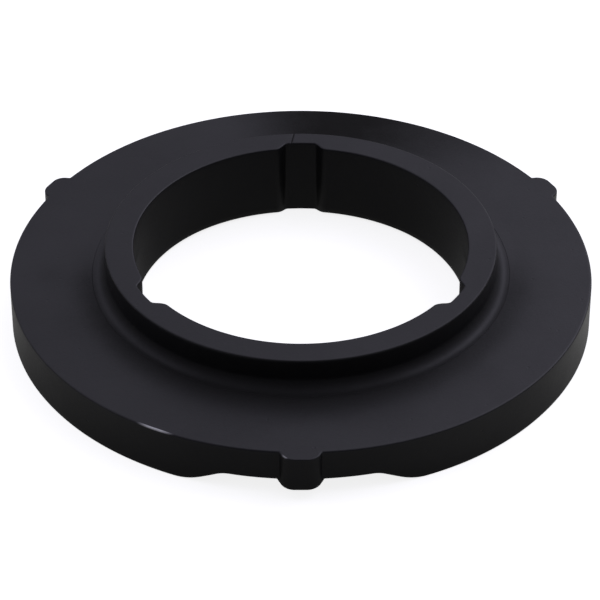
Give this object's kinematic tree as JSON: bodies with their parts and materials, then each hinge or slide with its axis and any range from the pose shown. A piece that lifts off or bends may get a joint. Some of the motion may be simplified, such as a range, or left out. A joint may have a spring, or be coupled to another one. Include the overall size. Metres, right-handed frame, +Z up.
{
  "type": "toilet flange seal ring",
  "caption": "Flat round rubber ring with a raised collar round a keyed bore, ribs on its rim and ramped bays under it; seals a toilet outlet to a floor flange.",
  "frame": {"origin": "on the bore's axis, 1 mm below the lower end of the bore's straight wall, in the plane of the underside", "axes": "+Z up along the bore's axis, from the underside to the collar's top; -Y through the first rim rib; +X to its right seen from that rib"},
  "size_m": [0.14, 0.1426, 0.02],
  "materials": {
    "plate_rubber": "satin",
    "collar_rubber": "satin"
  },
  "bodies": {
    "root": {"flange_plate": "plate_rubber", "collar_sleeve": "collar_rubber"}
  },
  "joints": []
}
